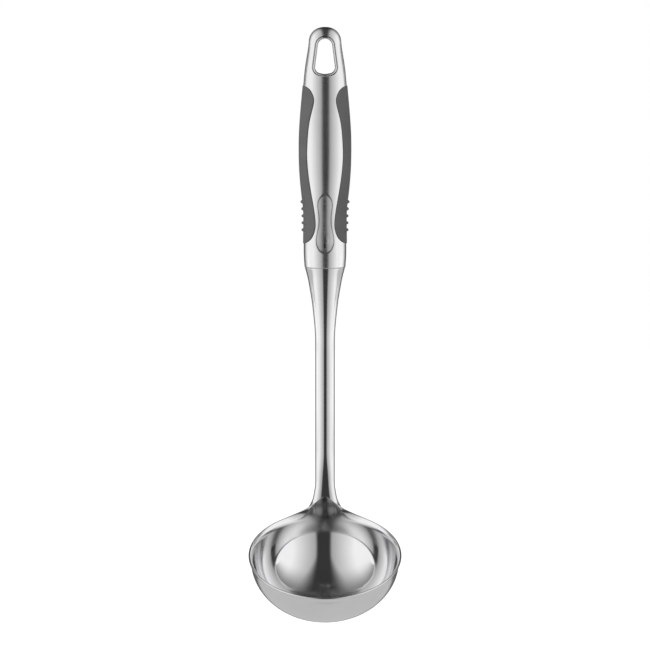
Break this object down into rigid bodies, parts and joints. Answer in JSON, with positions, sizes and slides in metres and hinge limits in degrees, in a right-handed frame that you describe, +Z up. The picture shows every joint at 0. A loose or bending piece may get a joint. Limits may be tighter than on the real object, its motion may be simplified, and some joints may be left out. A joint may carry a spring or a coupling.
{
  "type": "soup ladle",
  "caption": "Stainless soup ladle: round tilted bowl with a flared lip, oval tube shaft, and a hollow steel handle with soft side grips and a hang hole, for serving and hanging.",
  "frame": {"origin": "centre of the round top of the hang hole, on the handle's middle plane, where a hook carries the ladle", "axes": "+Z up along the handle and shaft, +X to the right seen from the front, -Y to the front, where the bowl reaches out"},
  "size_m": [0.0852, 0.0922, 0.3235],
  "materials": {
    "bowl_steel": "mirror polished inside, fine satin outside",
    "shaft_steel": "polished, with a faint lengthwise grain",
    "handle_steel": "polished, with a faint lengthwise grain",
    "liner_steel": "polished",
    "sleeve_steel": "plain, hidden",
    "grip_rubber": "matte, finely grained",
    "core_nylon": "matte, hidden"
  },
  "bodies": {
    "root": {"bowl": "bowl_steel", "shaft": "shaft_steel", "joint_sleeve": "sleeve_steel", "handle_front_shell": "handle_steel", "handle_back_shell": "handle_steel", "hang_liner": "liner_steel", "handle_core": "core_nylon", "grip_left": "grip_rubber", "grip_right": "grip_rubber"}
  },
  "joints": []
}
